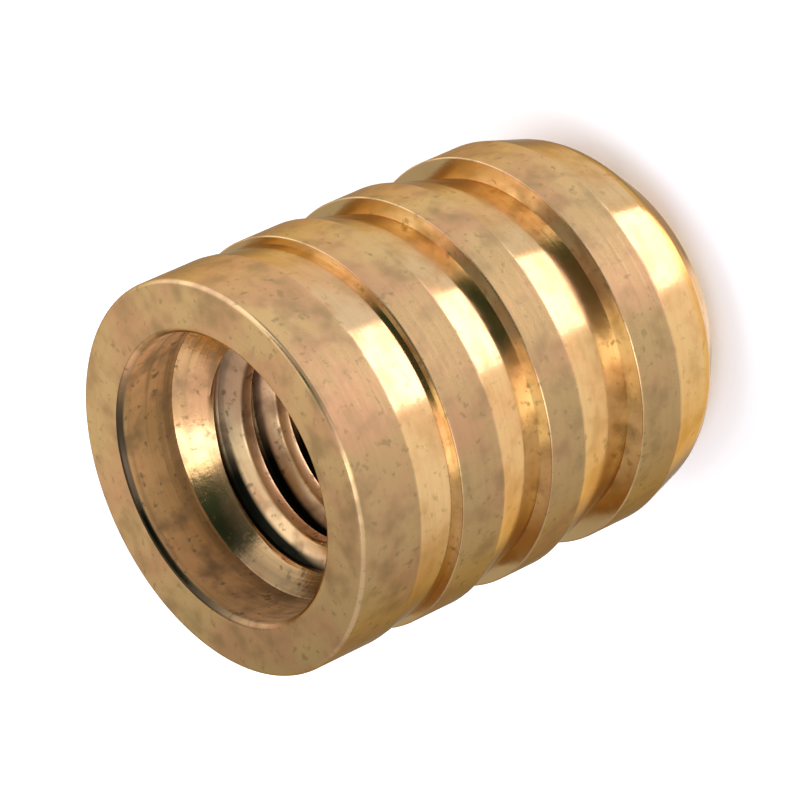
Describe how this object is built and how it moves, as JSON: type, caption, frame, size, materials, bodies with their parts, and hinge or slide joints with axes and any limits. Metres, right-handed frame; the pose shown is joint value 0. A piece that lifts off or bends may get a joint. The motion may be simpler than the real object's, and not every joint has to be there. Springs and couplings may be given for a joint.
{
  "type": "threaded insert",
  "caption": "Press-in brass threaded insert: turned sleeve with barbed rings, tapered nose, smooth lead-in at the mouth and a tapped through bore for a machine screw.",
  "frame": {"origin": "centre of the nose face, which the insert stands on", "axes": "+Z along the bore axis, out of the mouth, the way a screw leaves; X and Y are free because the insert is round"},
  "size_m": [0.0064, 0.0064, 0.008],
  "materials": {
    "turned_brass": "turned, bright on the tapers and dull on the lands"
  },
  "bodies": {
    "root": {"insert_body": "turned_brass"}
  },
  "joints": []
}
